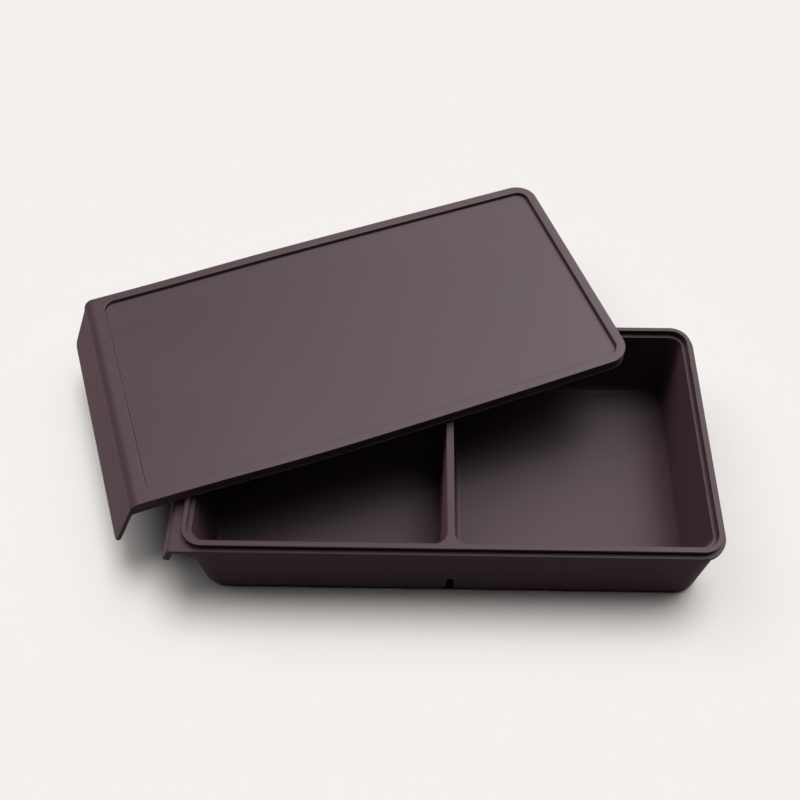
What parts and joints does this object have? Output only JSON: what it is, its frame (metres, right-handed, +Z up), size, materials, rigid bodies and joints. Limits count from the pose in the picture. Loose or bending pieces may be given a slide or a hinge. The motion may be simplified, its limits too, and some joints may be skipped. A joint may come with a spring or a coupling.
{
  "type": "baby food freezer tray",
  "caption": "Soft rectangular silicone food freezer tray with deep tubs split by a divider, a lipped rim and a pull tab; its panelled lid with a sloping pull tab lies askew on the rim.",
  "frame": {"origin": "centre of the footprint of tray and lid together, on the surface the tray stands on", "axes": "+Z up, +X along the tray's long side away from its pull tab, +Y across the tray towards the side the lid is pushed back to"},
  "size_m": [0.3368, 0.2304, 0.0603],
  "materials": {
    "tray_silicone": "matte soft-touch silicone, dark plum grey",
    "lid_silicone": "matte soft-touch silicone, dark plum grey"
  },
  "bodies": {
    "tray": {"tray": "tray_silicone"},
    "lid": {"lid": "lid_silicone"}
  },
  "joints": [
    {"name": "lid_lift", "type": "slide", "parent": "tray", "child": "lid", "axis": [0, 0, 1], "range_m": [0, 0.12]}
  ]
}
